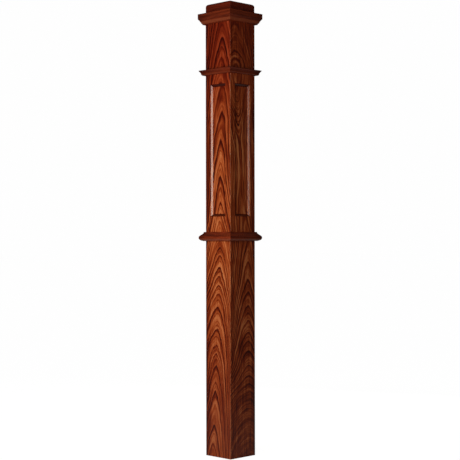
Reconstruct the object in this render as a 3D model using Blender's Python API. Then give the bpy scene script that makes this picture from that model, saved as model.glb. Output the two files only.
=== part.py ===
"""Box newel post: a hollow square post for a stair landing.

Four boards with mitred long edges make the shaft. Each has a panel sunk in it
between the waist and the neck. Three mouldings run round the shaft, each in four
mitred lengths, and a block with rounded top edges closes it.

Metres, +Z up. The post stands on z = 0, centred on the Z axis, with its faces
square to X and Y.
"""

import math

import bmesh
import bpy

# Plan
POST_WIDTH = 0.127
BOARD_THICKNESS = 0.019
CORNER_EASING = 0.0012
JOINT_GAP = 0.0003

# Heights of the stages, from the floor up
BASE_HEIGHT = 0.7857
WAIST_HEIGHT = 0.0333
LOWER_RAIL_HEIGHT = 0.057
PANEL_HEIGHT = 0.480
FRIEZE_HEIGHT = 0.036
NECK_HEIGHT = 0.019
HANDRAIL_STAGE_HEIGHT = 0.1675
CAP_MOULDING_HEIGHT = 0.0396
CAP_BLOCK_HEIGHT = 0.0354

# Sunk panel
STILE_WIDTH = 0.0254
PANEL_DEPTH = 0.0075
PANEL_SLOPE_WIDTH = 0.0075

# Cap block
CAP_ROUNDING = 0.0078

# Cap moulding: foot, step out, cove and fascia
CAP_PROJECTION = 0.0205
CAP_FASCIA_HEIGHT = 0.0185
CAP_COVE_SAG = 0.0009
CAP_FOOT_PROJECTION = 0.0084
CAP_FOOT_HEIGHT = 0.0041
CAP_FOOT_STEP = 0.0023

# Neck moulding: quarter round, fillet, cove and lip
NECK_FOOT_PROJECTION = 0.0060
NECK_ROUND_PROJECTION = 0.0120
NECK_ROUND_HEIGHT = 0.0060
NECK_FILLET_HEIGHT = 0.0015
NECK_PROJECTION = 0.0185
NECK_LIP_HEIGHT = 0.0018
NECK_COVE_SAG = 0.0004

# Waist moulding: foot, nose, slope and top fillet
WAIST_FOOT_PROJECTION = 0.0082
WAIST_FOOT_HEIGHT = 0.0012
WAIST_PROJECTION = 0.0191
WAIST_NOSE_TURN = math.radians(48)
WAIST_SLOPE_SAG = 0.0004
WAIST_FILLET_PROJECTION = 0.0059
WAIST_FILLET_HEIGHT = 0.0040

ARC_STEPS = 6
EASING_STEPS = 3
SIDES = ("front", "right", "back", "left")

# Levels that follow from the stages
WAIST_LEVEL = BASE_HEIGHT
PANEL_LEVEL = WAIST_LEVEL + WAIST_HEIGHT + LOWER_RAIL_HEIGHT
NECK_LEVEL = PANEL_LEVEL + PANEL_HEIGHT + FRIEZE_HEIGHT
CAP_MOULDING_LEVEL = NECK_LEVEL + NECK_HEIGHT + HANDRAIL_STAGE_HEIGHT
SHAFT_TOP = CAP_MOULDING_LEVEL + CAP_MOULDING_HEIGHT
HALF_WIDTH = POST_WIDTH / 2
MITRE_SETBACK = JOINT_GAP / math.sqrt(2)


def clear_scene():
    for item in list(bpy.data.objects):
        bpy.data.objects.remove(item, do_unlink=True)


def wood_material(name, colour, roughness):
    material = bpy.data.materials.new(name)
    material.use_nodes = True
    shader = material.node_tree.nodes["Principled BSDF"]
    shader.inputs["Base Color"].default_value = (*colour, 1.0)
    shader.inputs["Roughness"].default_value = roughness
    shader.inputs["Metallic"].default_value = 0.0
    return material


def finish_mesh(name, bm, material):
    mesh = bpy.data.meshes.new(name)
    bmesh.ops.recalc_face_normals(bm, faces=bm.faces)
    bm.to_mesh(mesh)
    bm.free()
    mesh.materials.append(material)
    mesh.shade_smooth()
    mesh.set_sharp_from_angle(angle=math.radians(30))
    return mesh


def bridge_rings(bm, lower, upper):
    count = len(lower)
    for index in range(count):
        following = (index + 1) % count
        bm.faces.new((lower[index], lower[following], upper[following], upper[index]))


def arc_points(start, end, sag, steps):
    """Points from start to end on an arc that bows by sag to the left of the way."""
    chord_x = end[0] - start[0]
    chord_y = end[1] - start[1]
    length = math.hypot(chord_x, chord_y)
    radius = (length * length / 4 + sag * sag) / (2 * abs(sag))
    half_angle = math.asin(length / 2 / radius)
    normal = (-chord_y / length, chord_x / length)
    side = math.copysign(1.0, sag)
    points = []
    for step in range(steps + 1):
        angle = half_angle * (2 * step / steps - 1)
        along = 0.5 + radius * math.sin(angle) / length
        bow = side * (radius * math.cos(angle) - radius + abs(sag))
        points.append((start[0] + chord_x * along + normal[0] * bow,
                       start[1] + chord_y * along + normal[1] * bow))
    return points


def board_plan():
    """Outline of a board that faces -Y, anticlockwise from above.

    It starts with the two inner corners; the left easing and the right one follow.
    """
    inner_y = -(HALF_WIDTH - BOARD_THICKNESS)
    inner_x = HALF_WIDTH - BOARD_THICKNESS - MITRE_SETBACK
    centre = HALF_WIDTH - CORNER_EASING
    mitre_angle = math.radians(45) + math.asin(JOINT_GAP / 2 / CORNER_EASING)
    right_corner = []
    for step in range(EASING_STEPS + 1):
        angle = math.radians(90) + (mitre_angle - math.radians(90)) * step / EASING_STEPS
        right_corner.append((centre + CORNER_EASING * math.cos(angle),
                             -centre - CORNER_EASING * math.sin(angle)))
    left_corner = [(-x, y) for x, y in reversed(right_corner)]
    return [(inner_x, inner_y), (-inner_x, inner_y)] + left_corner + right_corner


def side_board_mesh(material):
    """A board that faces -Y, with a panel sunk in its front."""
    plan = board_plan()
    top = SHAFT_TOP - JOINT_GAP
    bm = bmesh.new()
    lower = [bm.verts.new((x, y, 0.0)) for x, y in plan]
    upper = [bm.verts.new((x, y, top)) for x, y in plan]
    count = len(plan)
    front_start = count // 2
    for index in range(count):
        following = (index + 1) % count
        if index != front_start:
            bm.faces.new((lower[index], lower[following], upper[following], upper[index]))
    bm.faces.new(list(reversed(lower)))
    bm.faces.new(upper)

    opening_x = HALF_WIDTH - STILE_WIDTH
    floor_x = opening_x - PANEL_SLOPE_WIDTH
    face_y = -HALF_WIDTH
    floor_y = face_y + PANEL_DEPTH
    low = PANEL_LEVEL
    high = PANEL_LEVEL + PANEL_HEIGHT
    opening = [bm.verts.new(point) for point in (
        (-opening_x, face_y, low), (opening_x, face_y, low),
        (opening_x, face_y, high), (-opening_x, face_y, high))]
    floor = [bm.verts.new(point) for point in (
        (-floor_x, floor_y, low + PANEL_SLOPE_WIDTH), (floor_x, floor_y, low + PANEL_SLOPE_WIDTH),
        (floor_x, floor_y, high - PANEL_SLOPE_WIDTH), (-floor_x, floor_y, high - PANEL_SLOPE_WIDTH))]
    front = (lower[front_start], lower[front_start + 1], upper[front_start + 1], upper[front_start])
    bridge_rings(bm, front, opening)
    bridge_rings(bm, opening, floor)
    bm.faces.new(floor)
    return finish_mesh("side_board", bm, material)


def eased_square(half, easing):
    """A square outline with round corners, anticlockwise from above."""
    points = []
    for corner in range(4):
        turn = math.radians(90 * corner)
        for step in range(2 * EASING_STEPS + 1):
            angle = turn + math.radians(90) * step / (2 * EASING_STEPS)
            centre_angle = turn + math.radians(45)
            centre = (half - easing) * math.sqrt(2)
            points.append((centre * math.cos(centre_angle) + easing * math.cos(angle),
                           centre * math.sin(centre_angle) + easing * math.sin(angle)))
    return points


def cap_block_mesh(material):
    """A square block from z = 0 up, with its top edges rounded."""
    profile = [(0.0, 0.0)]
    for step in range(ARC_STEPS + 1):
        angle = math.radians(90) * step / ARC_STEPS
        profile.append((CAP_ROUNDING * (1 - math.cos(angle)),
                        CAP_BLOCK_HEIGHT - CAP_ROUNDING + CAP_ROUNDING * math.sin(angle)))
    bm = bmesh.new()
    rings = []
    for inset, height in profile:
        outline = eased_square(HALF_WIDTH - inset, CORNER_EASING)
        rings.append([bm.verts.new((x, y, height)) for x, y in outline])
    for lower, upper in zip(rings, rings[1:]):
        bridge_rings(bm, lower, upper)
    bm.faces.new(list(reversed(rings[0])))
    bm.faces.new(rings[-1])
    return finish_mesh("cap_block", bm, material)


def cap_profile():
    """Projection and height of the cap moulding, from its foot up."""
    top = CAP_MOULDING_HEIGHT
    fascia_foot = top - CAP_FASCIA_HEIGHT
    cove_foot = (CAP_FOOT_PROJECTION + CAP_FOOT_STEP, CAP_FOOT_HEIGHT)
    cove = arc_points(cove_foot, (CAP_PROJECTION, fascia_foot), CAP_COVE_SAG, ARC_STEPS)
    return [(CAP_FOOT_PROJECTION, 0.0), (CAP_FOOT_PROJECTION, CAP_FOOT_HEIGHT)] + cove + [
        (CAP_PROJECTION, top)]


def neck_profile():
    """Projection and height of the neck moulding, from its foot up."""
    lip_foot = NECK_HEIGHT - NECK_LIP_HEIGHT
    round_reach = NECK_ROUND_PROJECTION - NECK_FOOT_PROJECTION
    quarter_round = []
    for step in range(ARC_STEPS + 1):
        angle = math.radians(90) * step / ARC_STEPS
        quarter_round.append((NECK_FOOT_PROJECTION + round_reach * math.sin(angle),
                              NECK_ROUND_HEIGHT * (1 - math.cos(angle))))
    cove_foot = (NECK_ROUND_PROJECTION, NECK_ROUND_HEIGHT + NECK_FILLET_HEIGHT)
    cove = arc_points(cove_foot, (NECK_PROJECTION, lip_foot), NECK_COVE_SAG, ARC_STEPS)
    return quarter_round + cove + [(NECK_PROJECTION, NECK_HEIGHT)]


def waist_profile():
    """Projection and height of the waist moulding, from its foot up."""
    radius = WAIST_PROJECTION - WAIST_FOOT_PROJECTION
    centre_height = WAIST_FOOT_HEIGHT + radius
    nose = []
    for step in range(2 * ARC_STEPS + 1):
        angle = (math.radians(90) + WAIST_NOSE_TURN) * step / (2 * ARC_STEPS) - math.radians(90)
        nose.append((WAIST_FOOT_PROJECTION + radius * math.cos(angle),
                     centre_height + radius * math.sin(angle)))
    fillet_foot = (WAIST_FILLET_PROJECTION, WAIST_HEIGHT - WAIST_FILLET_HEIGHT)
    slope = arc_points(nose[-1], fillet_foot, WAIST_SLOPE_SAG, ARC_STEPS)
    return [(WAIST_FOOT_PROJECTION, 0.0)] + nose + slope[1:] + [(WAIST_FILLET_PROJECTION, WAIST_HEIGHT)]


def moulding_mesh(name, profile, material):
    """One length of moulding on a face that looks along -Y, with mitred ends."""
    section = [(JOINT_GAP, 0.0)] + profile + [(JOINT_GAP, profile[-1][1])]
    bm = bmesh.new()
    ends = []
    for side in (-1, 1):
        ring = []
        for projection, height in section:
            reach = HALF_WIDTH + projection
            ring.append(bm.verts.new((side * (reach - MITRE_SETBACK), -reach, height)))
        ends.append(ring)
    bridge_rings(bm, ends[0], ends[1])
    bm.faces.new(ends[0])
    bm.faces.new(list(reversed(ends[1])))
    return finish_mesh(name, bm, material)


def place(name, mesh, parent, level, quarter_turns=0):
    item = bpy.data.objects.new(name, mesh)
    bpy.context.scene.collection.objects.link(item)
    item.parent = parent
    item.location = (0.0, 0.0, level)
    item.rotation_euler = (0.0, 0.0, math.radians(90 * quarter_turns))
    return item


def build_post():
    clear_scene()
    board_wood = wood_material("board_wood", (0.30, 0.075, 0.022), 0.25)
    moulding_wood = wood_material("moulding_wood", (0.16, 0.032, 0.012), 0.25)
    cap_wood = wood_material("cap_wood", (0.11, 0.022, 0.009), 0.25)

    post = bpy.data.objects.new("newel_post", None)
    bpy.context.scene.collection.objects.link(post)

    board = side_board_mesh(board_wood)
    cap_moulding = moulding_mesh("cap_moulding", cap_profile(), moulding_wood)
    neck_moulding = moulding_mesh("neck_moulding", neck_profile(), moulding_wood)
    waist_moulding = moulding_mesh("waist_moulding", waist_profile(), moulding_wood)
    for turns, side in enumerate(SIDES):
        place("side_board_" + side, board, post, 0.0, turns)
        place("cap_moulding_" + side, cap_moulding, post, CAP_MOULDING_LEVEL, turns)
        place("neck_moulding_" + side, neck_moulding, post, NECK_LEVEL, turns)
        place("waist_moulding_" + side, waist_moulding, post, WAIST_LEVEL, turns)
    place("cap_block", cap_block_mesh(cap_wood), post, SHAFT_TOP)


build_post()
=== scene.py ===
import math

import bmesh
import bpy
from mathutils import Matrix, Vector


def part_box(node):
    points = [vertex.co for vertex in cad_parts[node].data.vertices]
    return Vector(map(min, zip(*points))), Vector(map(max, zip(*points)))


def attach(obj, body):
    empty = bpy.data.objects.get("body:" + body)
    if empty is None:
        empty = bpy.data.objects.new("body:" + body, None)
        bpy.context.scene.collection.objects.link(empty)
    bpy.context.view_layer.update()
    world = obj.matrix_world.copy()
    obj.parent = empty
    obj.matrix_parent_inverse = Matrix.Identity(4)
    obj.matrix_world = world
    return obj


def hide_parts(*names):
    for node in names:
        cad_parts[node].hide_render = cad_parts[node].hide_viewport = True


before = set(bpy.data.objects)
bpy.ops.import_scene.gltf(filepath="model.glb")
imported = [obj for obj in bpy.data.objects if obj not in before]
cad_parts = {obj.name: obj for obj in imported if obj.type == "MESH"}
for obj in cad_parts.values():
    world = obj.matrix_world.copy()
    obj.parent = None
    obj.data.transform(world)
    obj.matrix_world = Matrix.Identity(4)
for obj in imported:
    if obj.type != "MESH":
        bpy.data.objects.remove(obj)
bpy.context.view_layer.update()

sides = ("front", "right", "back", "left")
millimetre = 0.001
sameLevel = 0.0001                     # points whose heights differ by less stand on one level

# Places that the solids give, in metres
boardLow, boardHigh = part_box("side_board_front")
capLow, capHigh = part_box("cap_block")
faceDistance = -boardLow.y             # from the post's axis to a face
boardBack = -boardHigh.y               # from the axis to a board's inner face
postHeight = capHigh.z
boardPoints = [vertex.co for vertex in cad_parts["side_board_front"].data.vertices]
# the levels are the board's foot, the panel's edge, its floor's two ends, its upper edge and the top
boardLevels = sorted({round(point.z, 5) for point in boardPoints})
panelLow, panelFloorLow = boardLevels[1:3]
panelHigh = boardLevels[4]
panelOpening = max(point.x for point in boardPoints if abs(point.z - panelLow) < sameLevel)
panelFloorPoints = [point for point in boardPoints if abs(point.z - panelFloorLow) < sameLevel]
panelDepth = max(point.y for point in panelFloorPoints) + faceDistance
panelSlope = panelFloorLow - panelLow
panelMiddle = (panelLow + panelHigh) / 2
print("frame read: face at", round(faceDistance, 4), "panel from", panelLow, "to", panelHigh)


# Meshes

shaping = {
    "gentleTurn": math.radians(20),    # an outline's corners that turn less stay as they are
    "edgeShare": 0.45,                 # of an edge, the most that a softened corner takes
    "softSteps": 3,
    "sharpAngle": math.radians(35),    # faces that meet at more are shaded apart
    "areaWeight": 100,                 # large faces alone decide the normals
}


def addObject(name, data):
    made = bpy.data.objects.new(name, data)
    bpy.context.scene.collection.objects.link(made)
    return made


def bridge(mesh, first, second):
    count = len(first)
    for index in range(count):
        after = (index + 1) % count
        mesh.faces.new((first[index], first[after], second[after], second[index]))


def bowed(start, end, sag, steps):
    # points on an arc that bows by sag to the left of the way from start to end
    start, end = Vector(start), Vector(end)
    chord = end - start
    radius = (chord.length_squared / 4 + sag * sag) / (2 * abs(sag))
    halfAngle = math.asin(chord.length / 2 / radius)
    normal = Vector((-chord.y, chord.x)).normalized() * math.copysign(1, sag)
    points = []
    for step in range(steps + 1):
        angle = halfAngle * (2 * step / steps - 1)
        along = 0.5 + radius * math.sin(angle) / chord.length
        bow = radius * math.cos(angle) - radius + abs(sag)
        points.append(start + chord * along + normal * bow)
    return points


def softened(points, radius, steps=shaping["softSteps"]):
    # an open outline with its corners rounded off
    points = [Vector(point) for point in points]
    soft = [points[0]]
    for before, corner, after in zip(points, points[1:], points[2:]):
        into, out = corner - before, after - corner
        turn = into.angle(out, 0)
        if turn < shaping["gentleTurn"]:
            soft.append(corner)
            continue
        reach = min(radius * math.tan(turn / 2), shaping["edgeShare"] * min(into.length, out.length))
        first, last = corner - into.normalized() * reach, corner + out.normalized() * reach
        for step in range(steps + 1):
            share = step / steps
            soft.append(first.lerp(corner, share).lerp(corner.lerp(last, share), share))
    return soft + [points[-1]]


def makePiece(name, mesh, turns, level, finish):
    # turns are quarter turns about the post's axis, from the front
    data = bpy.data.meshes.new(name)
    bmesh.ops.recalc_face_normals(mesh, faces=mesh.faces)
    mesh.to_mesh(data)
    mesh.free()
    data.materials.append(finish)
    data.shade_smooth()
    data.set_sharp_from_angle(angle=shaping["sharpAngle"])
    piece = addObject(name, data)
    piece.location = (0, 0, level)
    piece.rotation_euler = (0, 0, math.radians(90 * turns))
    weighted = piece.modifiers.new("flat faces stay flat", "WEIGHTED_NORMAL")
    weighted.keep_sharp = True
    weighted.weight = shaping["areaWeight"]
    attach(piece, "root")
    return piece


# Shader maths: a Wire is a socket that Python operators work on

class Wire:
    def __init__(self, finish, socket):
        self.finish = finish
        self.socket = socket

    def __add__(self, other):
        return self.finish.maths("ADD", self, other)

    def __radd__(self, other):
        return self.finish.maths("ADD", other, self)

    def __sub__(self, other):
        return self.finish.maths("SUBTRACT", self, other)

    def __rsub__(self, other):
        return self.finish.maths("SUBTRACT", other, self)

    def __mul__(self, other):
        return self.finish.maths("MULTIPLY", self, other)

    def __rmul__(self, other):
        return self.finish.maths("MULTIPLY", other, self)

    def __truediv__(self, other):
        return self.finish.maths("DIVIDE", self, other)

    def __pow__(self, other):
        return self.finish.maths("POWER", self, other)


class Finish:
    def __init__(self, owner):
        # the owner is a new material or the world
        owner.use_nodes = True
        self.owner = owner
        self.tree = owner.node_tree
        self.tree.nodes.clear()

    def plug(self, socket, value):
        if isinstance(value, Wire):
            self.tree.links.new(value.socket, socket)
        elif value is not None:
            socket.default_value = value

    def node(self, kind, settings, sockets, output=0):
        made = self.tree.nodes.new(kind)
        for name, value in settings.items():
            if name == "stops":
                self.setStops(made.color_ramp, value)
            elif name == "points":
                self.setPoints(made.mapping, value)
            elif name == "straight":
                for point in made.mapping.curves[0].points:
                    point.handle_type = "VECTOR"
                made.mapping.update()
            else:
                setattr(made, name, value)
        for name, value in sockets.items():
            self.plug(made.inputs[name], value)
        return Wire(self, made.outputs[output]) if made.outputs else None

    def setStops(self, ramp, stops):
        ramp.elements[1].position = stops[-1][0]
        for place, colour in stops[1:-1]:
            ramp.elements.new(place)
        for stop, (place, colour) in zip(ramp.elements, stops):
            stop.position = place
            stop.color = (*colour, 1)

    def setPoints(self, mapping, points):
        line = mapping.curves[0]
        line.points[0].location, line.points[1].location = points[0], points[-1]
        for place in points[1:-1]:
            line.points.new(*place)
        for point in line.points:
            point.handle_type = "AUTO_CLAMPED"
        mapping.update()

    def maths(self, operation, first, second=None):
        return self.node("ShaderNodeMath", {"operation": operation}, {0: first, 1: second})

    def between(self, value, low, high, toLow=0.0, toHigh=1.0):
        # a soft step up from low to high, or down where low is the larger
        sockets = {"Value": value, "From Min": low, "From Max": high, "To Min": toLow, "To Max": toHigh}
        return self.node("ShaderNodeMapRange", {"interpolation_type": "SMOOTHSTEP"}, sockets)

    def within(self, value, start, full, fade, end):
        # up from start to full, and down again from fade to end
        return self.between(value, start, full) * self.between(value, end, fade)

    def mixValues(self, share, first, second):
        return self.node("ShaderNodeMix", {}, {0: share, 2: first, 3: second})

    def mixColours(self, share, first, second, blend="MIX"):
        return self.node("ShaderNodeMix", {"data_type": "RGBA", "blend_type": blend},
                         {0: share, 6: first, 7: second}, output=2)

    def rawCurve(self, value, points, straight=False):
        # a line through points of (share, share)
        settings = {"points": points, "straight": True} if straight else {"points": points}
        return self.node("ShaderNodeFloatCurve", settings, {"Factor": 1.0, "Value": value})

    def curve(self, value, points):
        # a soft line through points of (share, amount), whatever the amounts' range
        amounts = [amount for share, amount in points]
        low, high = min(amounts), max(amounts)
        scaled = [(share, (amount - low) / (high - low)) for share, amount in points]
        return self.rawCurve(value, scaled) * (high - low) + low

    def noise(self, values, sizes, shifts, detail=2.0, roughness=0.5):
        # grains of these sizes along three values; a shift gives another part of the noise
        place = [value / size + shift for value, size, shift in zip(values, sizes, shifts)]
        place = self.node("ShaderNodeCombineXYZ", {}, dict(enumerate(place)))
        return self.node("ShaderNodeTexNoise", {}, {"Vector": place, "Scale": 1.0, "Detail": detail,
                                                    "Roughness": roughness})

    def axes(self):
        # the piece's own coordinates, in millimetres
        own = self.node("ShaderNodeTexCoord", {}, {}, output="Object")
        sockets = {0: own, "Scale": 1 / millimetre}
        scaled = self.node("ShaderNodeVectorMath", {"operation": "SCALE"}, sockets)
        split = self.node("ShaderNodeSeparateXYZ", {}, {0: scaled})
        return [Wire(self, socket) for socket in split.socket.node.outputs]

    def surface(self, colour, roughness, height, coat):
        bump = self.node("ShaderNodeBump", {}, {"Strength": lacquer["bumpStrength"],
                                                "Distance": lacquer["bumpDepth"], "Height": height})
        shader = self.node("ShaderNodeBsdfPrincipled", {}, {
            "Base Color": colour, "Roughness": roughness, "Normal": bump,
            "IOR": lacquer["ior"], "Coat Weight": coat, "Coat Roughness": lacquer["coatRoughness"]})
        self.node("ShaderNodeOutputMaterial", {}, {"Surface": shader})
        return self.owner


# Wood

lacquer = {
    "ior": 1.5,
    "roughness": 0.25,
    "poreRoughness": 0.08,             # added where a pore is open
    "coatRoughness": 0.13,
    "bumpStrength": 0.3,
    "bumpDepth": 0.0003,
    "fibreRelief": 0.6,
    "poreRelief": 0.5,
}

boardWood = {
    # the stain from thin to thick: how dark, and its colour
    "shades": ((0.0, (0.74, 0.235, 0.078)), (0.28, (0.50, 0.096, 0.019)), (0.55, (0.26, 0.031, 0.0038)),
               (0.80, (0.13, 0.0105, 0.0016)), (1.0, (0.065, 0.0045, 0.0010))),
    "red": (0.72, 0.36, 0.36, 1),      # multiplies the colour where the stain is redder
    "slopeHighlightTint": (0.97, 1.2, 1.1, 1),  # multiplies the colour of the panel's slopes toward the paler, less red colour of a painted highlight

    # growth lines, as arches
    "topOfGrain": 2000.0,              # mm, where the growth curve ends
    "lineWidth": 0.15,                 # of a growth ring
    "legWidening": 0.5,                # and how much wider it gets on steep legs
    "lineFade": (1.9, 0.2),            # in widths below a line, where it starts and is full
    "lineTop": (0.94, 1.0),            # of a ring, over which a line ends sharply above
    "secondLine": 0.45,                # as dark as the first
    "secondTop": (0.40, 0.46),         # of a ring under the first, over which it ends sharply above
    "secondWidth": 1.4,                # in widths of the first
    "ringShade": 0.30,                 # how much darker a ring grows toward its line
    "lineShade": 0.62,                 # how much darker the line is
    "lineRelief": 0.2,
    "tip": 3.0,                        # mm, how round an arch's tip is
    "bow": 0.85,                       # how much an arch's legs bow
    "archTurn": 4.0,                   # mm beside the middle, where the left leg turns into the right one
    "sway": 14.0,                      # mm, how far a noise moves the arches' middle
    "ripple": 14.0,                    # mm, how far another moves each line
    "cutShift": 1.5,                   # how far the lines climb for each mm that the panel cuts in

    # noises: their grains' sizes in mm across the board, into it and along it
    "swaySize": (1, 45, 75),
    "rippleSize": (10, 1, 40),
    "fibreSize": (1.6, 1.6, 50),
    "streakSize": (4.5, 9, 150),
    "cloudSize": (40, 1, 90),
    "poreSize": (0.5, 0.5, 11),
    "bandsPerRing": 1.4,
    "bandSize": (1, 70, 300),          # in those, across and along
    "finePerRing": 6.0,
    "fineSize": (1, 60, 260),
    "pores": (0.58, 0.70),             # the noise's values where a pore starts and is full
    "offLine": 0.3,                    # how open the pores are between two lines
    "fibreShade": 0.5,
    "cloudShade": 0.5,
    "poreShade": 0.16,

    # the sunk panel and the long edges, in mm
    "wall": (0.2, 0.5, 7.3, 7.5),      # from the face, where the sloped sides start, are full, fade and end
    "slopeFade": 0.8,                  # the soft start and end of their painted strip
    "slopeCover": 0.75,                # how much of the grain the strip's painted light and shade hides
    "endBand": (-1.2, 0.2, 7.6, 9.2),  # inward from the panel's ends, where the grain is cut across
    "mitreBlur": 0.6,                  # where it meets the long slopes
    "root": 0.16,                      # painted shade: how much darker the panel's floor is along the slopes
    "rootWidth": (6.5, 2.0),           # inward from the floor's edge, where that starts and is full
    "rootDepth": (7.0, 7.4),
    "rimWidth": (3.8, 0.8),            # outward from the panel's edge, where that painted highlight starts and is full
    "rimDepth": (0.4, 0.1),
    "rimEnd": 0.5,
    "middle": 1.0,                     # beside the middle, where left turns into right
    "arris": 0.08,                     # how much lighter the corner is: a painted highlight
    "arrisWidth": (4.0, 0.3),          # from the corner, where that starts and is full

    # lacquer, thinner and more satin on the flat faces
    "coat": 0.2,
    "satin": 0.17,
    "arrisCoat": 0.7,
    "arrisRoughness": 0.1,
    "wornRoughness": 0.35,             # where the slopes aren't clean
    "endSoak": 0.8,                    # how much of its coat the cut grain drinks
}

frontGrain = {
    "seed": 3.0,
    "base": 0.17,                      # how dark the stain is before all else
    "bands": 0.9,                      # how much groups of rings differ
    "fine": 0.9,                       # and the finer lines in them
    "streaks": 0.6,
    "point": 18.0,                     # how pointed an arch is
    "slopeLightAndShade": (0.13, 0.85),         # how dark the panel's left and right slopes are: a painted highlight on the left one and painted shade on the right one
    "slope": (1.0, 6.3),               # mm from the face, where they carry that painted tone and are glossy
    "slopeCoat": 0.5,                  # and how much more lacquer they have there
    "rimHighlight": 0.0,                        # a painted highlight: how much lighter the face is beside the right slope
    "endGrainAndShade": 1.12,                  # how much darker the slopes are that cut across the grain: end grain that takes more stain, and painted shade in the panel's top and bottom slots
    # in millimetres, where the arches' tops stand, and how dark each line is
    "rings": ((0, 0.5), (48, 0.5), (115, 0.75), (190, 0.3), (241, 0.75), (270, 0.5), (335, 0.85),
              (376, 0.7), (408, 0.6), (467, 0.95), (495, 0.25), (546, 0.8), (597, 0.6), (626, 0.8),
              (659, 0.7), (691, 0.9), (735, 0.75), (764, 0.85), (812, 0.4), (858, 0.4), (899, 0.6),
              (937, 0.75), (1035, 0.95), (1080, 0.45), (1165, 0.85), (1266, 0.7), (1364, 0.6),
              (1453, 0.45), (1524, 0.85), (1620, 0.5), (1700, 0.6), (1780, 0.6), (1860, 0.5),
              (2000, 0.5)),
    # against the post's height: the arches' middle in mm, and how steep their left and right legs are
    "heart": ((0.0, -26.0), (0.07, -21.0), (0.16, -13.0), (0.24, -10.0), (0.283, -4.6), (0.33, 0.0),
              (0.40, 6.5), (0.46, 10.0), (0.5665, 6.0), (0.626, 4.0), (0.705, 9.0), (0.765, 14.0),
              (0.86, 18.0), (0.9215, 22.0), (1.0, 22.0)),
    "left": ((0.0, 0.058), (0.16, 0.055), (0.22, 0.034), (0.28, 0.026), (0.45, 0.038), (0.62, 0.080),
             (0.77, 0.050), (0.92, 0.060), (1.0, 0.065)),
    "right": ((0.0, 0.068), (0.16, 0.062), (0.22, 0.048), (0.28, 0.042), (0.45, 0.046), (0.62, 0.075),
              (0.77, 0.055), (0.92, 0.050), (1.0, 0.050)),
    # the height that a growth line counts from
    "fold": ((0.0, 0.0), (1.0, 1.0)),
    # from the left edge to the right: how much darker; lighter at the near corner is a painted highlight
    "across": ((0.0, 0.60), (0.035, 0.36), (0.07, 0.32), (0.17, 0.20), (0.28, 0.0), (0.8, 0.0),
               (0.93, 0.02), (1.0, -0.08)),
    # against the height: how strong that is
    "edges": ((0.0, 0.7), (0.05, 0.7), (0.08, 1.2), (0.15, 1.0), (0.21, 1.0), (0.25, 1.3), (0.31, 1.3),
              (0.345, 0.75), (0.5, 0.6), (0.56, 0.65), (0.61, 0.9), (0.8, 1.0), (0.83, 0.6),
              (1.0, 0.45)),
    # against the height: how red, how much darker, and how clear the growth lines are
    "red": ((0.0, 0.3), (0.12, 0.35), (0.3, 0.15), (0.45, 0.0), (0.6, 0.0), (0.75, 0.3), (0.86, 0.8),
            (1.0, 0.95)),
    "dark": ((0.0, 0.06), (0.115, 0.06), (0.18, 0.03), (0.247, 0.0), (0.313, -0.02), (0.38, 0.01),
             (0.445, 0.02), (0.51, 0.04), (0.54, 0.0), (0.587, 0.04), (0.653, 0.06), (0.72, 0.08),
             (0.785, 0.03), (0.82, 0.06), (0.86, 0.16), (1.0, 0.19)),
    "lines": ((0.0, 0.8), (0.2, 1.0), (1.0, 1.0)),
}

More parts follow.
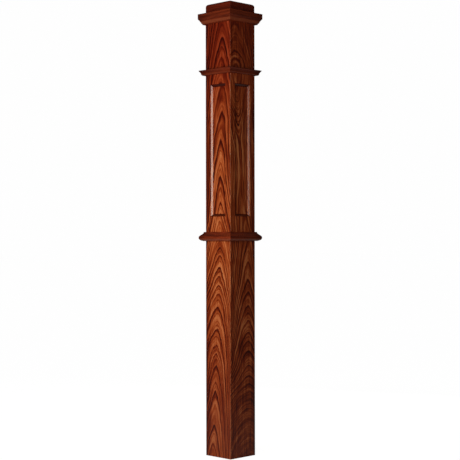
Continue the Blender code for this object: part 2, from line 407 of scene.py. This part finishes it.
rightGrain = {
    "seed": 11.0,
    "base": 0.10,
    "bands": 1.2,
    "fine": 1.2,
    "streaks": 1.2,
    "point": 4.0,
    # painted light and shade on the panel's slopes, the left one darker
    "slopeLightAndShade": (0.7, 0.47),
    "slope": (1.0, 5.3),
    "slopeCoat": 0.8,
    # a painted highlight beside the right slope
    "rimHighlight": 0.26,
    # end grain and painted shade in the slots, less than on the front
    "endGrainAndShade": 0.62,
    "rings": ((0, 0.5), (60, 0.4), (118, 0.5), (170, 0.5), (225, 0.5), (280, 0.5), (328, 0.6),
              (379, 0.8), (435, 0.95), (510, 0.7), (543, 0.5), (608, 0.85), (672, 0.75), (725, 0.8),
              (792, 0.6), (865, 0.7), (925, 0.7), (968, 0.9), (1020, 0.5), (1068, 0.7), (1112, 0.95),
              (1165, 0.5), (1230, 0.6), (1290, 0.7), (1350, 0.6), (1420, 0.7), (1500, 0.6), (1600, 0.7),
              (1730, 0.6), (1850, 0.5), (2000, 0.5)),
    "heart": ((0.0, 36.0), (0.2, 31.0), (0.3, 27.5), (0.45, 29.0), (0.52, 14.0), (0.6, 2.0),
              (0.66, -2.0), (0.72, -12.0), (0.76, -16.0), (0.82, -26.0), (0.9, -37.0), (1.0, -36.0)),
    "left": ((0.0, 0.012), (0.12, 0.012), (0.18, 0.038), (0.24, 0.052), (0.45, 0.058), (0.56, 0.08),
             (0.64, 0.16), (0.7, 0.09), (0.76, 0.075), (0.84, 0.05), (0.9, 0.035), (1.0, 0.05)),
    "right": ((0.0, 0.03), (0.12, 0.035), (0.18, 0.06), (0.24, 0.08), (0.45, 0.085), (0.56, 0.10),
              (0.64, 0.18), (0.7, 0.18), (0.76, 0.16), (0.84, 0.05), (0.9, 0.03), (1.0, 0.05)),
    # where this height turns down, the arches point down
    "fold": ((0.0, 0.0), (0.693, 0.693), (0.7213, 0.6725), (0.847, 0.539), (0.892, 0.5854),
             (1.0, 0.692)),
    # from the left edge to the right: lighter at the near corner, a painted highlight, and darker toward
    # the far edge
    "across": ((0.0, -0.24), (0.018, -0.20), (0.032, 0.04), (0.06, 0.06), (0.2, 0.0), (0.78, 0.0),
               (0.86, 0.08), (0.96, 0.24), (1.0, 0.34)),
    "edges": ((0.0, 1.0), (0.8, 1.0), (0.86, 0.75), (1.0, 0.75)),
    "red": ((0.0, 0.0), (0.12, 0.1), (0.3, 0.25), (0.45, 0.1), (0.6, 0.0), (0.75, 0.05), (0.86, 0.35),
            (1.0, 0.5)),
    "dark": ((0.0, 0.36), (0.049, 0.37), (0.115, 0.31), (0.18, 0.19), (0.247, 0.12), (0.313, 0.13),
             (0.38, 0.06), (0.45, 0.09), (0.51, 0.20), (0.587, 0.12), (0.653, -0.01), (0.72, 0.06),
             (0.785, 0.22), (0.82, 0.26), (0.88, 0.22), (0.946, 0.43), (1.0, 0.46)),
    "lines": ((0.0, 0.3), (0.16, 0.6), (0.23, 0.95), (0.44, 1.05), (0.5, 0.6), (0.62, 0.6), (0.65, 1.0),
              (0.745, 1.1), (0.775, 0.4), (0.84, 0.3), (0.87, 0.7), (0.9, 0.7), (0.93, 0.2),
              (1.0, 0.2)),
}

hiddenGrain = {
    "seeds": (23.0, 37.0),             # of the back and left boards
    "slope": (0.4, 7.0),
    "slopeLightAndShade": 0.08,                 # painted shade and highlight: how much darker the left slope is there, and lighter the right one
}


def flipped(grain, seed):
    # the same tree's grain from another board: turned end for end and a little different
    top = boardWood["topOfGrain"]
    leftTone, rightTone = grain["slopeLightAndShade"]
    slopeLightAndShade = (leftTone + hiddenGrain["slopeLightAndShade"], rightTone - hiddenGrain["slopeLightAndShade"])
    turned = dict(grain, seed=seed, slopeLightAndShade=slopeLightAndShade, slope=hiddenGrain["slope"])
    turned["rings"] = tuple((top - height, dark) for height, dark in reversed(grain["rings"]))
    for name in ("heart", "left", "right", "edges"):
        turned[name] = tuple((1 - share, value) for share, value in reversed(grain[name]))
    return turned


backSeed, leftSeed = hiddenGrain["seeds"]
backGrain = flipped(frontGrain, backSeed)
leftGrain = flipped(rightGrain, leftSeed)
grains = dict(zip(sides, (frontGrain, rightGrain, backGrain, leftGrain)))


def panelMasks(finish, grain, across, height, fromFace):
    # 1 on these parts of the sunk panel and on the board's long edges, and 0 elsewhere
    look = boardWood
    edge = faceDistance / millimetre
    opening = panelOpening / millimetre
    floorEdge = (panelOpening - panelSlope) / millimetre
    sideways = finish.maths("ABSOLUTE", across)
    fromMiddle = finish.maths("ABSOLUTE", height - panelMiddle / millimetre)
    inset = (panelHigh - panelLow) / 2 / millimetre - fromMiddle

    start, end = grain["slope"]
    fade = look["slopeFade"]
    blur = look["mitreBlur"]
    endBand = finish.within(inset, *look["endBand"])
    arrisStart, arrisFull = look["arrisWidth"]
    rootStart, rootFull = look["rootWidth"]
    rootStrip = finish.between(sideways, floorEdge - rootStart, floorEdge - rootFull)
    rimStart, rimFull = look["rimWidth"]
    rimStrip = finish.between(sideways, opening + rimStart, opening + rimFull)
    rimStrip = rimStrip * finish.between(inset, -look["rimEnd"], look["rimEnd"])
    onRight = finish.between(across, -look["middle"], look["middle"])
    return {
        "wall": finish.within(fromFace, *look["wall"]),
        "slope": finish.within(fromFace, start, start + fade, end - fade, end),
        "endGrainAndShade": endBand * finish.between(sideways + inset, opening + blur, opening - blur),
        "arris": finish.between(sideways, edge - arrisStart, edge - arrisFull),
        "root": rootStrip * finish.between(fromFace, *look["rootDepth"]),
        "rimHighlight": rimStrip * finish.between(fromFace, *look["rimDepth"]) * onRight,
    }


def growthLines(finish, grain, share, across, height, fromFace):
    # flat-sawn grain as arches: the growth in rings, the dark lines, and the shade of both
    look = boardWood
    seed = grain["seed"]
    sway = finish.noise((0, across, height), look["swaySize"], (seed, 0, 0))
    side = across - finish.curve(share, grain["heart"]) + (sway - 0.5) * look["sway"]
    toRight = finish.between(side, -look["archTurn"], look["archTurn"])
    left, right = finish.curve(share, grain["left"]), finish.curve(share, grain["right"])
    legs = finish.mixValues(toRight, left, right)
    square = side * side
    tip = (square + look["tip"] ** 2) ** 0.5 - look["tip"]
    arch = legs * (square * look["bow"] + tip * grain["point"])
    ripple = finish.noise((across, 0, height), look["rippleSize"], (0, seed, 0), detail=3.0)
    counted = finish.curve(share, grain["fold"]) * (postHeight / millimetre)
    rise = counted + arch + (ripple - 0.5) * look["ripple"] + fromFace * look["cutShift"]

    # the height of each ring's top gives the growth, which counts the rings
    last = len(grain["rings"]) - 1
    tops = [(top / look["topOfGrain"], index / last) for index, (top, dark) in enumerate(grain["rings"])]
    growth = finish.rawCurve(rise / look["topOfGrain"], tops, straight=True) * last
    below = 1 - finish.maths("FRACT", growth)
    darks = [(index / last, dark) for index, (top, dark) in enumerate(grain["rings"])]
    strength = finish.rawCurve(finish.maths("FLOOR", growth + 0.5) / last, darks)

    width = look["lineWidth"] * (1 + finish.maths("ABSOLUTE", side * legs) * look["legWidening"])
    line = finish.maths("MAXIMUM", finish.between(below / width, *look["lineFade"]),
                        finish.between(below, *look["lineTop"]))
    top, full = look["secondTop"]
    second = finish.between(below, top, full)
    second = second * finish.between(below, full + look["lineWidth"] * look["secondWidth"], full)
    line = finish.maths("MAXIMUM", line, second * look["secondLine"]) * strength
    shade = look["ringShade"] * (1 - below) * strength + look["lineShade"] * line
    return growth, line, shade


def boardFinish(name, grain):
    look = boardWood
    seed = grain["seed"]
    finish = Finish(bpy.data.materials.new(name))
    across, depth, height = finish.axes()
    fromFace = depth + faceDistance / millimetre
    share = height / (postHeight / millimetre)
    mask = panelMasks(finish, grain, across, height, fromFace)
    growth, line, lineShade = growthLines(finish, grain, share, across, height, fromFace)

    # bands of rings, fibres, pores and the broad cloudiness of the stain
    bandPlace = (growth * look["bandsPerRing"], across, height)
    finePlace = (growth * look["finePerRing"], across, height)
    place = (across, depth, height)
    deeper = (0, seed, 0)
    bands = finish.noise(bandPlace, look["bandSize"], (seed, 0, 0), roughness=0.6)
    fine = finish.noise(finePlace, look["fineSize"], (0, 0, seed), detail=3.0, roughness=0.65)
    fibre = finish.noise(place, look["fibreSize"], deeper, detail=3.0, roughness=0.6)
    streak = finish.noise(place, look["streakSize"], deeper)
    cloud = finish.noise((across, 0, height), look["cloudSize"], (0, seed * 2, 0))
    pore = finish.noise(place, look["poreSize"], deeper, detail=1.0)
    poreMask = finish.between(pore, *look["pores"]) * (look["offLine"] + line * (1 - look["offLine"]))

    # how dark the stain is, with painted light and shade on the panel's slopes, slots and floor and at the
    # corner
    clear = finish.curve(share, grain["lines"])
    density = grain["base"] + lineShade * clear + grain["bands"] * (bands - 0.5) * clear
    density = density + grain["fine"] * (fine - 0.5) + look["fibreShade"] * (fibre - 0.5)
    density = density + grain["streaks"] * (streak - 0.5) + look["cloudShade"] * (cloud - 0.5)
    density = density + look["poreShade"] * poreMask
    # across the board: lighter along the near corner, a painted highlight
    fromLeft = across / (2 * faceDistance / millimetre) + 0.5
    density = density + finish.curve(fromLeft, grain["across"]) * finish.curve(share, grain["edges"])
    density = density + finish.curve(share, grain["dark"])
    # the panel's slopes take a painted tone: paler for painted light, darker for painted shade
    slopeLightAndShade = finish.between(across, -look["middle"], look["middle"], *grain["slopeLightAndShade"])
    density = finish.mixValues(mask["slope"] * look["slopeCover"], density, slopeLightAndShade)
    # darker slots: end grain with painted shade; and painted shade on the floor along the slopes
    density = density + mask["endGrainAndShade"] * grain["endGrainAndShade"] + mask["root"] * look["root"]
    # painted highlights: on the face beside the right slope, and along the corners
    density = density - mask["rimHighlight"] * grain["rimHighlight"] - mask["arris"] * look["arris"]

    colour = finish.node("ShaderNodeValToRGB", {"stops": look["shades"]}, {"Fac": density})
    colour = finish.mixColours(finish.curve(share, grain["red"]), colour, look["red"], blend="MULTIPLY")
    # painted highlight colour on the slopes
    colour = finish.mixColours(mask["slope"], colour, look["slopeHighlightTint"], blend="MULTIPLY")

    worn = mask["wall"] * (1 - mask["slope"])
    flat = (1 - mask["wall"]) * (1 - mask["arris"])
    roughness = lacquer["roughness"] + look["satin"] * flat + lacquer["poreRoughness"] * poreMask
    roughness = roughness + look["wornRoughness"] * worn + look["arrisRoughness"] * mask["arris"]
    coat = look["coat"] * (1 - finish.maths("MAXIMUM", worn, mask["endGrainAndShade"] * look["endSoak"]))
    coat = coat + grain["slopeCoat"] * mask["slope"] + look["arrisCoat"] * mask["arris"]
    relief = lacquer["fibreRelief"] * fibre - lacquer["poreRelief"] * poreMask - look["lineRelief"] * line
    return finish.surface(colour, roughness, relief, coat)


mouldingWood = {
    "light": (0.31, 0.044, 0.012, 1),
    "dark": (0.085, 0.0080, 0.0025, 1),
    "pale": (0.42, 0.100, 0.040, 1),   # a painted highlight, on the bands that catch the light
    "tip": (0.060, 0.006, 0.0022, 1),  # painted shade toward the far end
    "coat": 0.45,
    "satin": 0.0,                      # how much rougher than the lacquer alone
    "kindSeed": 7.3,                   # from the cap's moulding to the neck's and the waist's
    "sideSeed": 31.7,                  # from side to side
}

capWood = {
    "light": (0.235, 0.023, 0.0065, 1),
    "dark": (0.100, 0.009, 0.0024, 1),
    "coat": 0.2,
    "satin": 0.15,
    "seed": 5.0,
}

lengthGrain = {
    # noises: their grains' sizes in mm along the piece, into it and up it
    "waveSize": (70, 40, 40),
    "bandSize": (130, 6, 6),
    "fibreSize": (40, 1.6, 1.6),
    "poreSize": (10, 0.55, 0.55),
    "pores": (0.6, 0.72),              # the noise's values where a pore starts and is full
    "poreShade": 0.5,
    "contrast": (0.35, 0.68),          # the other noises' values that give the light and the dark
    "bandShare": 0.6,                  # of the tone, and the fibres give the rest
    "endFade": (-20.0, 70.0),          # mm from the middle, over which the far end darkens with painted shade
    "tipFade": (36.0, 66.0),
    "bandFade": 1.5,                   # mm, a band's soft edge
}


def lengthFinish(name, look, seed, size=None, farEnd=1):
    # grain that runs along the piece, its own X; a moulding's size gives its bands of painted highlight and
    # shade, and its far end darkened with painted shade
    grain = lengthGrain
    finish = Finish(bpy.data.materials.new(name))
    place = finish.axes()
    along, height = place[0], place[2]
    wave = finish.noise(place, grain["waveSize"], (0, seed, 0), detail=1.0)
    band = finish.noise(place, grain["bandSize"], (seed, wave * 2, wave))
    fibre = finish.noise(place, grain["fibreSize"], (seed, 0, 0), detail=3.0, roughness=0.6)
    pore = finish.noise(place, grain["poreSize"], (0, seed, 0), detail=1.0)
    poreMask = finish.between(pore, *grain["pores"])
    tone = finish.between(band, *grain["contrast"]) * grain["bandShare"]
    tone = tone + finish.between(fibre, *grain["contrast"]) * (1 - grain["bandShare"])
    colour = finish.mixColours(tone, look["light"], look["dark"])
    colour = finish.mixColours(poreMask * grain["poreShade"], colour, look["dark"])
    if size:
        # painted shade toward the far end and its tip
        toEnd = along * farEnd
        shade = finish.maths("MAXIMUM", finish.between(toEnd, *grain["endFade"]) * size["endShade"],
                             finish.between(toEnd, *grain["tipFade"]) * size["tipShade"])
        colour = finish.mixColours(shade, colour, look["tip"])
        # pale bands are painted highlights; dark bands darken the piece, with painted shade in the neck's
        # fillet
        for low, high, amount in size["bands"]:
            fade = grain["bandFade"]
            inside = finish.within(height, low, low + fade, high - fade, high) * abs(amount)
            colour = finish.mixColours(inside, colour, look["pale" if amount > 0 else "dark"])
    roughness = lacquer["roughness"] + look["satin"] + lacquer["poreRoughness"] * poreMask
    relief = lacquer["fibreRelief"] * fibre - lacquer["poreRelief"] * poreMask
    return finish.surface(colour, roughness, relief, look["coat"])


# Side boards

board = {
    "cornerEasing": 0.0008,
    "easingSteps": 6,                  # also down the panel's slopes
    "glueLine": 0.00006,               # the gap that shows at a mitre
    "panelArris": 0.0003,
    "arrisSteps": 4,
    "slopeSag": -0.00006,              # how little the panel's slopes bow
    "flatBeside": 0.004,               # the length of flat face and floor that their soft edges start from
}


def boardMesh():
    easing, steps = board["cornerEasing"], board["easingSteps"]
    centre = faceDistance - easing
    mitreAngle = math.radians(45) + math.asin(board["glueLine"] / 2 / easing)
    rightCorner = []
    for step in range(steps + 1):
        angle = math.radians(90) + (mitreAngle - math.radians(90)) * step / steps
        rightCorner.append((centre + easing * math.cos(angle), -centre - easing * math.sin(angle)))
    leftCorner = [(-x, y) for x, y in reversed(rightCorner)]
    # the boards touch at the mitre's inner edge, so that no light shows through the glue line
    plan = [(boardBack, -boardBack), (-boardBack, -boardBack)] + leftCorner + rightCorner

    mesh = bmesh.new()
    lower = [mesh.verts.new((x, y, boardLow.z)) for x, y in plan]
    upper = [mesh.verts.new((x, y, boardHigh.z)) for x, y in plan]
    flat = len(plan) // 2
    for index in range(len(plan)):
        after = (index + 1) % len(plan)
        if index != flat:
            mesh.faces.new((lower[index], lower[after], upper[after], upper[index]))
    mesh.faces.new(list(reversed(lower)))
    mesh.faces.new(upper)

    # the sunk panel: face, soft arris, slope, soft root, floor
    slope = bowed((0, 0), (panelSlope, panelDepth), board["slopeSag"], board["easingSteps"])
    beside = board["flatBeside"]
    section = [(-beside, 0), *slope, (panelSlope + beside, panelDepth)]
    wall = softened(section, board["panelArris"], steps=board["arrisSteps"])
    ring = [lower[flat], lower[flat + 1], upper[flat + 1], upper[flat]]
    for inset, sunk in wall:
        x = panelOpening - inset
        low, high = panelLow + inset, panelHigh - inset
        y = sunk - faceDistance
        corners = ((-x, y, low), (x, y, low), (x, y, high), (-x, y, high))
        following = [mesh.verts.new(corner) for corner in corners]
        bridge(mesh, ring, following)
        ring = following
    mesh.faces.new(ring)
    return mesh


for turns, side in enumerate(sides):
    wood = boardFinish("board_wood_" + side, grains[side])
    piece = makePiece("board_" + side, boardMesh(), turns, 0, wood)
    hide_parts("side_board_" + side)
print("side boards done")


# Mouldings

capMoulding = {
    "projection": 0.0205,
    "fasciaHeight": 0.0185,
    "coveSag": 0.0009,
    "footProjection": 0.0084,
    "footHeight": 0.0041,
    "footStep": 0.0023,
    "arris": 0.0007,
    "bands": ((3.0, 13.0, 0.45),),     # from and to which height in mm, and how pale (+) or dark (-): a painted highlight on the foot and lower cove
    "endShade": 0.33,                  # painted shade: how much darker the end away from the front corner is
    "tipShade": 0.5,                   # and its last few centimetres, darker still
}

neckMoulding = {
    "footProjection": 0.0060,
    "roundProjection": 0.0120,
    "roundHeight": 0.0060,
    "filletHeight": 0.0015,
    "projection": 0.0185,
    "lipHeight": 0.0018,
    "coveSag": 0.0004,
    "arris": 0.0005,
    # a painted highlight on the bead, painted shade in the fillet above it, and the whole neck darker
    "bands": ((0.5, 7.0, 0.2), (6.5, 9.5, -0.6), (-3.0, 23.0, -0.32)),
    "endShade": 0.36,
    "tipShade": 0.85,
}

waistMoulding = {
    "footProjection": 0.0082,
    "footHeight": 0.0012,
    "projection": 0.0191,
    "noseTurn": math.radians(48),
    "slopeSag": 0.0004,
    "filletProjection": 0.0059,
    "filletHeight": 0.0040,
    "arris": 0.0006,
    # a painted highlight on its lower part
    "bands": ((-2.0, 10.0, 0.3),),
    "endShade": 0.33,
    "tipShade": 0.6,
}

arcSteps = 12                          # on each round and hollow
backGap = 0.00005                      # the mouldings' backs lie this close to the boards


def capProfile(height):
    size = capMoulding
    coveFoot = (size["footProjection"] + size["footStep"], size["footHeight"])
    coveTop = (size["projection"], height - size["fasciaHeight"])
    return [(size["footProjection"], 0), (size["footProjection"], size["footHeight"]),
            *bowed(coveFoot, coveTop, size["coveSag"], arcSteps), (size["projection"], height)]


def neckProfile(height):
    size = neckMoulding
    reach = size["roundProjection"] - size["footProjection"]
    rounded = []
    for step in range(arcSteps + 1):
        angle = math.radians(90) * step / arcSteps
        rounded.append((size["footProjection"] + reach * math.sin(angle),
                        size["roundHeight"] * (1 - math.cos(angle))))
    coveFoot = (size["roundProjection"], size["roundHeight"] + size["filletHeight"])
    coveTop = (size["projection"], height - size["lipHeight"])
    return [*rounded, *bowed(coveFoot, coveTop, size["coveSag"], arcSteps), (size["projection"], height)]


def waistProfile(height):
    size = waistMoulding
    radius = size["projection"] - size["footProjection"]
    centre = size["footHeight"] + radius
    nose = []
    for step in range(2 * arcSteps + 1):
        angle = (math.radians(90) + size["noseTurn"]) * step / (2 * arcSteps) - math.radians(90)
        nose.append((size["footProjection"] + radius * math.cos(angle), centre + radius * math.sin(angle)))
    filletFoot = (size["filletProjection"], height - size["filletHeight"])
    slope = bowed(nose[-1], filletFoot, size["slopeSag"], arcSteps)
    return [(size["footProjection"], 0), *nose, *slope[1:], (size["filletProjection"], height)]


def mouldingMesh(profile, height, arris):
    setback = board["glueLine"] / math.sqrt(2)
    section = softened([(backGap, 0), *profile(height), (backGap, height)], arris)
    mesh = bmesh.new()
    ends = []
    for end in (-1, 1):
        ring = []
        for projection, level in section:
            reach = faceDistance + projection
            ring.append(mesh.verts.new((end * (reach - setback), -reach, level)))
        ends.append(ring)
    bridge(mesh, ends[0], ends[1])
    mesh.faces.new(ends[0])
    mesh.faces.new(list(reversed(ends[1])))
    return mesh


mouldings = (("cap", capProfile, capMoulding), ("neck", neckProfile, neckMoulding),
             ("waist", waistProfile, waistMoulding))
for order, (kind, profile, size) in enumerate(mouldings):
    for turns, side in enumerate(sides):
        node = kind + "_moulding_" + side
        low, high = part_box(node)
        seed = mouldingWood["kindSeed"] * order + mouldingWood["sideSeed"] * turns
        farEnd = 1 if turns % 2 else -1
        wood = lengthFinish(kind + "_wood_" + side, mouldingWood, seed, size, farEnd)
        mesh = mouldingMesh(profile, high.z - low.z, size["arris"])
        piece = makePiece(kind + "_" + side, mesh, turns, low.z, wood)
        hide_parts(node)
print("mouldings done")


# Cap block

cap = {
    "rounding": 0.0100,
    "easing": 0.0016,
    "easingSteps": 5,
    "roundingSteps": 10,
    "underside": 0.0004,               # the chamfer around its lower face
}


def easedSquare(half, easing, steps):
    points = []
    for corner in range(4):
        middle = math.radians(90 * corner + 45)
        centre = Vector((math.cos(middle), math.sin(middle))) * (half - easing) * math.sqrt(2)
        for step in range(steps + 1):
            angle = math.radians(90) * (corner + step / steps)
            points.append(centre + Vector((math.cos(angle), math.sin(angle))) * easing)
    return points


def capMesh():
    height = capHigh.z - capLow.z
    rounding = cap["rounding"]
    profile = [(cap["underside"], 0), (0, cap["underside"])]
    for step in range(cap["roundingSteps"] + 1):
        angle = math.radians(90) * step / cap["roundingSteps"]
        profile.append((rounding * (1 - math.cos(angle)), height - rounding + rounding * math.sin(angle)))
    mesh = bmesh.new()
    rings = []
    for inset, level in profile:
        outline = easedSquare(capHigh.x - inset, cap["easing"], cap["easingSteps"])
        rings.append([mesh.verts.new((x, y, level)) for x, y in outline])
    for first, second in zip(rings, rings[1:]):
        bridge(mesh, first, second)
    mesh.faces.new(list(reversed(rings[0])))
    mesh.faces.new(rings[-1])
    return mesh


wood = lengthFinish("cap_wood", capWood, capWood["seed"])
piece = makePiece("cap", capMesh(), 0, capLow.z, wood)
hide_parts("cap_block")
print("cap block done")


# Camera, level with the post's middle and straight onto its corner

view = {
    "azimuth": 45.0,
    "distance": 4.387,
    "height": 0.8078,
    "sensor": 36.0,
    "framePixels": 460.0,              # the picture's width, for the next three, which are in pixels
    "focalPixels": 1195.0,
    "horizonBelowMiddle": 5.0,
    "postRightOfMiddle": 0.37,
    "roll": math.radians(0.08),
}


def toward(azimuth):
    return Vector((math.sin(math.radians(azimuth)), -math.cos(math.radians(azimuth)), 0))


camera = addObject("camera", bpy.data.cameras.new("camera"))
camera.data.sensor_width = view["sensor"]
camera.data.lens = view["sensor"] * view["focalPixels"] / view["framePixels"]
camera.data.shift_y = view["horizonBelowMiddle"] / view["framePixels"]
camera.data.shift_x = -view["postRightOfMiddle"] / view["framePixels"]
camera.location = toward(view["azimuth"]) * view["distance"] + Vector((0, 0, view["height"]))
camera.rotation_euler = (math.radians(90), view["roll"], math.radians(view["azimuth"]))
bpy.context.scene.camera = camera
print("camera done")


# Studio: soft boxes around the post, and a pale floor

softBoxes = {
    "key": {"azimuth": -6, "height": 0.9, "distance": 1.35, "width": 0.8, "tall": 1.1, "watts": 8.4},
    "front": {"azimuth": 34.7, "height": 1.12, "distance": 1.7, "width": 0.70, "tall": 1.0, "watts": 10.7,
              "shine": True},          # the only one that the lacquer mirrors
    "back": {"azimuth": 205, "height": 0.9, "distance": 1.9, "width": 0.8, "tall": 1.2, "watts": 14.0},
    "top": {"azimuth": 45, "height": 2.6, "distance": 0, "width": 0.7, "tall": 0.7, "watts": 2.0,
            "pitch": 0},               # it faces down
}

studio = {
    "lightColour": (1.0, 0.97, 0.91),
    "backdrop": 0.992,                 # what the camera sees behind the post
    "fill": 0.02,                      # and the light that comes from there
    "floorSize": 60.0,
    "floorDrop": 0.0002,               # under the post's foot
    "floorAlbedo": 0.12,               # as the camera sees it, for the post's shadow
    "bounce": 0.38,                    # and as the post's wood sees it
    "nearGlow": 0.97,                  # the floor's own brightness near the post
    "near": 0.4,                       # from the post, where that ends
    "far": 2.5,                        # and where the floor is as bright as the backdrop
}

white = (1, 1, 1, 1)


def softBox(name, box):
    light = addObject(name, bpy.data.lights.new(name, "AREA"))
    light.data.shape = "RECTANGLE"
    light.data.size, light.data.size_y = box["width"], box["tall"]
    light.data.energy = box["watts"]
    light.data.color = studio["lightColour"]
    light.visible_camera = False
    light.visible_glossy = box.get("shine", False)
    light.location = toward(box["azimuth"]) * box["distance"] + Vector((0, 0, box["height"]))
    light.rotation_euler = (math.radians(box.get("pitch", 90)), 0, math.radians(box["azimuth"]))


def lightRoom():
    # a pale backdrop for the camera, and little light from all around
    bpy.context.scene.world = bpy.data.worlds.new("studio")
    room = Finish(bpy.context.scene.world)
    cameraRay = room.node("ShaderNodeLightPath", {}, {}, output="Is Camera Ray")
    fill = room.node("ShaderNodeBackground", {}, {"Color": white, "Strength": studio["fill"]})
    backdrop = room.node("ShaderNodeBackground", {}, {"Color": white, "Strength": studio["backdrop"]})
    shown = room.node("ShaderNodeMixShader", {}, {0: cameraRay, 1: fill, 2: backdrop})
    room.node("ShaderNodeOutputWorld", {}, {"Surface": shown})


def floorFinish():
    # the floor meets the backdrop without a line: it glows as brightly far away as the backdrop
    pale = Finish(bpy.data.materials.new("pale_floor"))
    paint = pale.node("ShaderNodeBsdfDiffuse", {}, {"Color": (studio["floorAlbedo"],) * 3 + (1,)})
    bounce = pale.node("ShaderNodeBsdfDiffuse", {}, {"Color": (studio["bounce"],) * 3 + (1,)})
    ground = pale.node("ShaderNodeTexCoord", {}, {}, output="Object")
    reach = pale.node("ShaderNodeVectorMath", {"operation": "LENGTH"}, {0: ground}, output="Value")
    farGlow = studio["backdrop"] - studio["fill"] * studio["floorAlbedo"]
    brightness = pale.between(reach, studio["near"], studio["far"], studio["nearGlow"], farGlow)
    grey = pale.node("ShaderNodeCombineColor", {}, {0: brightness, 1: brightness, 2: brightness})
    glow = pale.node("ShaderNodeEmission", {}, {"Color": grey})
    both = pale.node("ShaderNodeAddShader", {}, {0: paint, 1: glow})
    cameraRay = pale.node("ShaderNodeLightPath", {}, {}, output="Is Camera Ray")
    shown = pale.node("ShaderNodeMixShader", {}, {0: cameraRay, 1: bounce, 2: both})
    pale.node("ShaderNodeOutputMaterial", {}, {"Surface": shown})
    return pale.owner


def layFloor():
    mesh = bmesh.new()
    bmesh.ops.create_grid(mesh, x_segments=1, y_segments=1, size=studio["floorSize"] / 2)
    data = bpy.data.meshes.new("floor")
    mesh.to_mesh(data)
    mesh.free()
    data.materials.append(floorFinish())
    floor = addObject("floor", data)
    floor.location.z = -studio["floorDrop"]


for name, box in softBoxes.items():
    softBox(name, box)
lightRoom()
layFloor()
bpy.context.scene.view_settings.view_transform = "Standard"
print("studio done")
